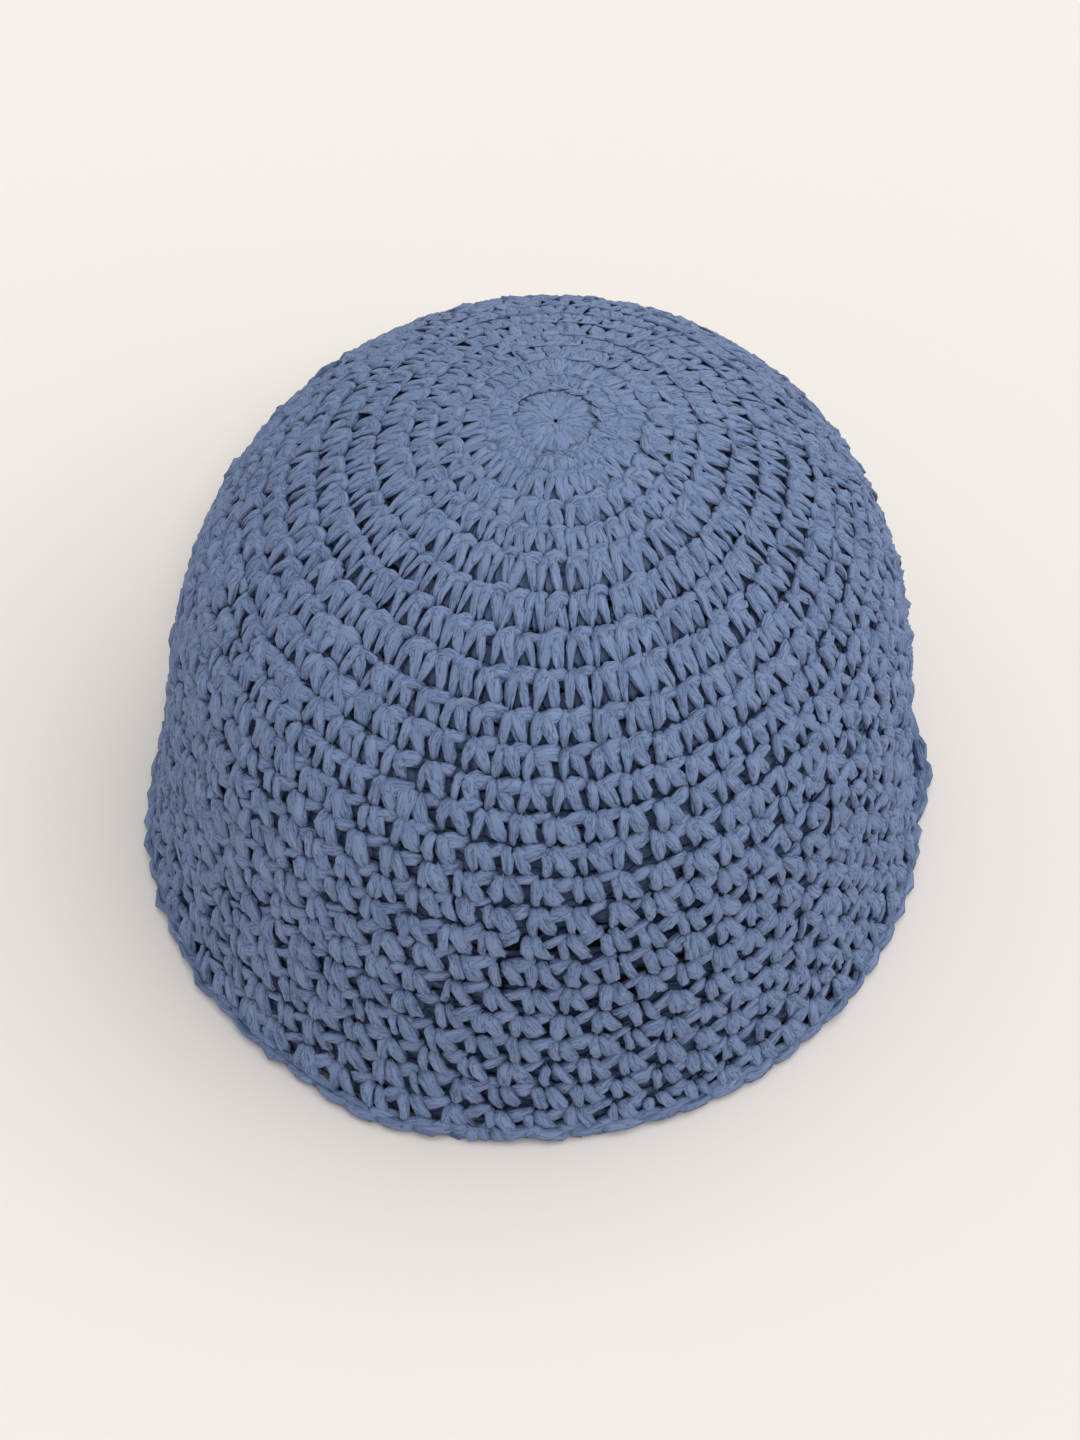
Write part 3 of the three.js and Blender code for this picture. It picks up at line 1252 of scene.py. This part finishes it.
@dataclass
class Border:
    """A chained border: long strands that lie slantwise round a cord."""

    dome: Dome
    name: str
    node: str
    corners_deg: tuple[float, float]
    seed: int
    plies: int = 3
    link: float = 8.4
    overlap: float = 1.25
    twist: float = 1.5
    twist_spread: float = 0.15
    ply_offset: float = 1.15
    ply_shares: tuple[float, ...] = (-0.6, 1.45, 1.45, -0.6)
    ply_spread: float = 0.16
    ply_width: float = 3.1
    ply_thickness: float = 2.0
    size_spread: float = 0.07
    half_width: float = 2.1
    half_height: float = 2.3
    end_gap: float = 0.3
    samples: int = 600

    def path(self, turn: np.ndarray) -> tuple[np.ndarray, np.ndarray]:
        """Where the cord's outer edge is, and its lift, at angles from straight ahead."""
        raise NotImplementedError

    def spot(self, turn: np.ndarray, around: np.ndarray, radius: np.ndarray) -> np.ndarray:
        """Finds points in the cord.

        Args:
            turn: Angles from straight ahead.
            around: Angles round the cord, from its outside upwards.
            radius: How far from the cord's middle.

        Returns:
            The points, one row each.
        """
        reach, lift = self.path(turn)
        outside = reach - self.half_width + radius * np.cos(around)
        return self.dome.by_rim(turn, outside, lift + self.half_height + radius * np.sin(around))

    def outwards(self, turn: np.ndarray, around: np.ndarray) -> np.ndarray:
        """The directions out of the cord's middle."""
        level = np.zeros(len(turn))
        return self.spot(turn, around, level + 1) - self.spot(turn, around, level)

    def strands(self) -> StrandSet:
        """Lays the border's strands, end to end in plies.

        Returns:
            The strands.
        """
        chance = np.random.default_rng(self.seed)
        fine = np.linspace(*(math.radians(corner) for corner in self.corners_deg), self.samples)
        line = self.spot(fine, np.zeros(self.samples), np.zeros(self.samples))
        length = np.concatenate([[0], np.cumsum(np.linalg.norm(np.diff(line, axis=0), axis=1))])
        links = round(length[-1] / self.link)
        step = length[-1] / links
        shares = np.linspace(-0.5, 0.5, len(self.ply_shares))
        sets = []
        for ply in range(self.plies):
            mids = (np.arange(links) + 0.5 + ply / self.plies - 0.5 * (self.plies - 1) / self.plies) * step
            places = mids[:, None] + shares * step * self.overlap
            turn = np.interp(np.clip(places, self.end_gap, length[-1] - self.end_gap), length, fine)
            around = 2 * math.pi * ply / self.plies + shares * self.twist
            around = around + chance.normal(0, self.twist_spread, (links, 1))
            radius = self.ply_offset * np.array(self.ply_shares)
            radius = radius + chance.normal(0, self.ply_spread, (links, len(self.ply_shares)))
            sizes = chance.normal(1, self.size_spread, (2, links))
            level = np.zeros(links)
            sets.append(
                StrandSet(
                    self.spot(turn, around, radius),
                    self.outwards(turn.mean(1), around.mean(1)),
                    self.ply_width * sizes[0],
                    self.ply_thickness * sizes[1],
                    level,
                    level > 0,
                    level,
                )
            )
        return StrandSet.join(sets)

    def build(self, tree: StrandTree, finish: bpy.types.Material) -> bpy.types.Object:
        """Makes the border.

        Args:
            tree: What makes strands.
            finish: The yarn.

        Returns:
            The piece.
        """
        piece = tree.make(self.name, self.strands(), finish)
        settle(piece, self.node)
        return piece


@dataclass
class RimBorder(Border):
    """The border round the back of the rim."""

    name: str = "rim_cord"
    node: str = "rim_border"
    corners_deg: tuple[float, float] = (98.0, 254.0)
    seed: int = 300 * SEED + 8
    proud: float = 2.0
    knots_deg: tuple[float, ...] = (187.6, 189.4, 190.8)
    knot_lean_deg: float = 0.7
    knot_leans: tuple[float, ...] = (-1.0, -0.4, 0.4, 1.0)
    knot_arounds: tuple[float, ...] = (-1.9, -0.7, 0.7, 1.9)
    knot_radius: float = 3.1
    knot_shares: tuple[float, ...] = (0.4, 1.0, 1.0, 0.4)
    knot_width: float = 3.0
    knot_thickness: float = 2.0

    def path(self, turn: np.ndarray) -> tuple[np.ndarray, np.ndarray]:
        """Level, just outside the rim."""
        return self.proud + self.dome.bulge(turn), np.zeros_like(turn)

    def strands(self) -> StrandSet:
        """Lays the border and the knots where it was finished off.

        Returns:
            The strands.
        """
        level = np.zeros(len(self.knots_deg))
        lean = np.radians(self.knot_lean_deg) * np.array(self.knot_leans)
        turn = np.radians(self.knots_deg)[:, None] + lean
        around = np.array(self.knot_arounds) + 0 * turn
        radius = self.knot_radius * np.array(self.knot_shares) + 0 * turn
        knots = StrandSet(
            self.spot(turn, around, radius),
            self.outwards(turn.mean(1), level),
            self.knot_width + level,
            self.knot_thickness + level,
            level,
            level > 0,
            level,
        )
        return StrandSet.join([super().strands(), knots])


@dataclass
class PeakBorder(Border):
    """The border round the peak's edge."""

    sheet: PeakSheet = field(kw_only=True)
    name: str = "peak_cord"
    node: str = "peak_border"
    corners_deg: tuple[float, float] = (-106.0, 98.0)
    seed: int = 300 * SEED + 9

    def path(self, turn: np.ndarray) -> tuple[np.ndarray, np.ndarray]:
        """Along the peak's edge, raised with it at the front."""
        return self.sheet.reach(turn), self.sheet.edge_lift * self.dome.raised(np.cos(turn))


def settle(piece: bpy.types.Object, node: str) -> None:
    """Puts a finished piece in the frame.

    Args:
        piece: The piece, at the origin.
        node: The frame's node that it stands for.
    """
    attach(piece, BODY)
    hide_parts(node)
    triangles = sum(len(p.vertices) - 2 for p in piece.data.polygons)
    log.info("%s: %d triangles for %s", piece.name, triangles, node)


@dataclass(frozen=True)
class PaperYarn:
    """Matt paper yarn: a flat ribbon folded lengthwise, with fine creases along it; the creases and the
    strands the tree marks get painted shade.
    """

    name: str
    light: tuple[float, float, float, float] = (0.222, 0.295, 0.482, 1.0)
    dark: tuple[float, float, float, float] = (0.125, 0.172, 0.300, 1.0)
    # The painted shade colour, for the creases and for strands the tree marks.
    fold: tuple[float, float, float, float] = (0.036, 0.072, 0.152, 1.0)
    fold_pitch: tuple[float, float, float] = (0.95, 0.95, 0.18)
    fold_detail: float = 2.0
    fibre_pitch: tuple[float, float, float] = (3.2, 3.2, 0.35)
    fibre_detail: float = 3.0
    crumple_pitch: tuple[float, float, float] = (0.75, 0.75, 0.38)
    patch_pitch: tuple[float, float, float] = (0.25, 0.25, 0.12)
    patch_detail: float = 1.0
    # Painted shade in the creases, and how much of the strands' own painted shade is used.
    crease_width: float = 0.08
    crease_share: float = 0.75
    depth_share: float = 0.72
    fibre_tone: float = 0.5
    strand_tone: float = 0.25
    patch_tone: float = 0.35
    crumple_tone: float = 0.3
    tone_below: float = 0.17
    fold_height: float = 0.55
    crumple_height: float = 0.75
    fibre_height: float = 0.35
    roughness: tuple[float, float] = (0.72, 0.9)
    specular: float = 0.25
    bump: float = 0.55 * MM
    bump_strength: float = 0.85

    def build(self) -> bpy.types.Material:
        """Makes the material.

        Returns:
            The material, which reads the strands' own attributes.
        """
        material = bpy.data.materials.new(self.name)
        material.use_nodes = True
        graph = Graph(material.node_tree)
        material.node_tree.nodes.clear()
        fibre = self._attribute(graph, "fibre", "Vector")
        folds = self._noise(graph, fibre * self.fold_pitch, self.fold_detail)
        fine = self._noise(graph, fibre * self.fibre_pitch, self.fibre_detail)
        patches = self._noise(graph, fibre * self.patch_pitch, self.patch_detail)
        cells = {"Vector": fibre * self.crumple_pitch, "Scale": 1.0}
        crumple = graph.wire("ShaderNodeTexVoronoi", sockets=cells, key="Distance")
        # The valleys of the fold pattern get painted shade.
        ridge = graph.math("ABSOLUTE", folds - 0.5) * 2.0
        stops = ((0.0, 1.0), (self.crease_width, 0.0))
        crease_shade = graph.wire("ShaderNodeValToRGB", {"stops": stops}, {"Fac": ridge}, "Color")
        tone = fine * self.fibre_tone + self._attribute(graph, "shade", "Fac") * self.strand_tone
        tone = tone + patches * self.patch_tone + crumple * self.crumple_tone - self.tone_below
        ground = graph.mix(self._clamp(graph, tone), self.dark, self.light)
        # Painted shade that the strands carry, then painted shade in the creases.
        deep = self._attribute(graph, "deep", "Fac") * self.depth_share
        sunk = graph.mix(self._clamp(graph, deep), ground, self.fold)
        height = ridge * self.fold_height - crumple * self.crumple_height + fine * self.fibre_height
        relief = {"Strength": self.bump_strength, "Distance": self.bump, "Height": height}
        sockets = {
            "Base Color": graph.mix(crease_shade * self.crease_share, sunk, self.fold),
            "Roughness": fine * (self.roughness[1] - self.roughness[0]) + self.roughness[0],
            "Specular IOR Level": self.specular,
            "Normal": graph.wire("ShaderNodeBump", sockets=relief),
        }
        surface = graph.wire("ShaderNodeBsdfPrincipled", sockets=sockets)
        graph.node("ShaderNodeOutputMaterial", sockets={"Surface": surface})
        return material

    @staticmethod
    def _attribute(graph: Graph, name: str, output: str) -> Wire:
        """One of the strands' attributes."""
        return graph.wire("ShaderNodeAttribute", {"attribute_name": name}, key=output)

    @staticmethod
    def _clamp(graph: Graph, value: Wire) -> Wire:
        """A value kept between zero and one."""
        return graph.wire("ShaderNodeClamp", sockets={0: value})

    @staticmethod
    def _noise(graph: Graph, place: Wire, detail: float) -> Wire:
        """Noise at a place, about one half on average."""
        sockets = {"Vector": place, "Scale": 1.0, "Detail": detail}
        return graph.wire("ShaderNodeTexNoise", sockets=sockets, key="Fac")


@dataclass
class Studio:
    """A plain pale floor, soft light all round and a camera behind and above the cap."""

    target: tuple[float, float, float] = (1.420, 29.915, 61.4)
    distance: float = 756.0
    elevation_deg: float = 46.7
    azimuth_deg: float = 175.0
    roll_deg: float = 2.93
    lens: float = 83.575
    sensor: float = 36.0
    picture: tuple[int, int] = (1080, 1440)
    target_pixel: tuple[float, float] = (545.2, 620.0)
    floor_radius: float = 10.0
    floor_rise: float = 4.0
    floor_sides: int = 96
    floor_steps: int = 12
    floor_colour: tuple[float, float, float, float] = (0.835, 0.788, 0.742, 1.0)
    world_strength: float = 0.66
    sun_strength: float = 1.62
    sun_angle_deg: float = 100.0
    sun_from: tuple[float, float, float] = (-0.52, 0.12, 1.0)
    nearest: float = 0.05

    def floor(self) -> None:
        """Lays the floor under the cap: level, its far edge curving up all round."""
        bend = np.linspace(0, math.pi / 2, self.floor_steps)
        radii = self.floor_radius + self.floor_rise * np.sin(bend)
        heights = self.floor_rise * (1 - np.cos(bend))
        around = np.arange(self.floor_sides) / self.floor_sides * 2 * math.pi
        rings = [(r * math.cos(t), r * math.sin(t), z) for r, z in zip(radii, heights) for t in around]
        faces = [tuple(range(self.floor_sides))]
        for low in range(0, (self.floor_steps - 1) * self.floor_sides, self.floor_sides):
            for side in range(self.floor_sides):
                after = (side + 1) % self.floor_sides
                high = low + self.floor_sides
                faces.append((low + side, high + side, high + after, low + after))
        mesh = bpy.data.meshes.new("floor")
        mesh.from_pydata(rings, [], faces)
        mesh.shade_smooth()
        material = bpy.data.materials.new("pale_floor")
        material.use_nodes = True
        shader = material.node_tree.nodes["Principled BSDF"]
        shader.inputs["Base Color"].default_value = self.floor_colour
        shader.inputs["Roughness"].default_value = 1.0
        shader.inputs["Specular IOR Level"].default_value = 0.0
        mesh.materials.append(material)
        plane = bpy.data.objects.new("floor", mesh)
        bpy.context.scene.collection.objects.link(plane)

    def light(self) -> None:
        """Lights the cap evenly, a little more from above and the right of the picture."""
        world = bpy.data.worlds.new("soft_light")
        world.use_nodes = True
        back = world.node_tree.nodes["Background"]
        back.inputs["Color"].default_value = (1.0, 1.0, 1.0, 1.0)
        back.inputs["Strength"].default_value = self.world_strength
        bpy.context.scene.world = world
        sun = bpy.data.lights.new("overhead", "SUN")
        sun.energy = self.sun_strength
        sun.angle = math.radians(self.sun_angle_deg)
        lamp = bpy.data.objects.new("overhead", sun)
        lamp.rotation_mode = "QUATERNION"
        lamp.rotation_quaternion = Vector(self.sun_from).to_track_quat("Z", "Y")
        bpy.context.scene.collection.objects.link(lamp)
        bpy.context.scene.view_settings.view_transform = "Standard"

    def camera(self) -> None:
        """Sets the camera so that the crown's axis falls on its pixel of the picture."""
        azimuth, elevation = math.radians(self.azimuth_deg), math.radians(self.elevation_deg)
        level = math.cos(elevation)
        back = Vector((math.sin(azimuth) * level, -math.cos(azimuth) * level, math.sin(elevation)))
        focal = self.lens / self.sensor * max(self.picture)
        right = self.target_pixel[0] - self.picture[0] / 2
        above = self.picture[1] / 2 - self.target_pixel[1]
        aim = Vector((right, above, -focal)).rotation_difference(Vector((0, 0, -1)))
        roll = Matrix.Rotation(math.radians(self.roll_deg), 3, "Z").to_quaternion()
        data = bpy.data.cameras.new("camera")
        data.lens = self.lens
        data.sensor_width = self.sensor
        data.clip_start = self.nearest
        eye = bpy.data.objects.new("camera", data)
        eye.rotation_mode = "QUATERNION"
        eye.rotation_quaternion = back.to_track_quat("Z", "Y") @ roll @ aim
        eye.location = (Vector(self.target) + back * self.distance) * MM
        bpy.context.scene.collection.objects.link(eye)
        bpy.context.scene.camera = eye


def main() -> None:
    """Builds the studio and the cap."""
    logging.basicConfig(level=logging.INFO, format="%(name)s: %(message)s")
    studio = Studio()
    studio.camera()
    studio.light()
    studio.floor()
    tree = StrandTree()
    cloth = PaperYarn("paper_yarn").build()
    border = PaperYarn("border_yarn").build()
    dome = Dome()
    sheet = PeakSheet(dome)
    Crown(dome).build(tree, cloth)
    Peak(sheet).build(tree, cloth)
    RimBorder(dome).build(tree, border)
    PeakBorder(dome, sheet=sheet).build(tree, border)
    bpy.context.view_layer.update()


if __name__ == "__main__":
    main()
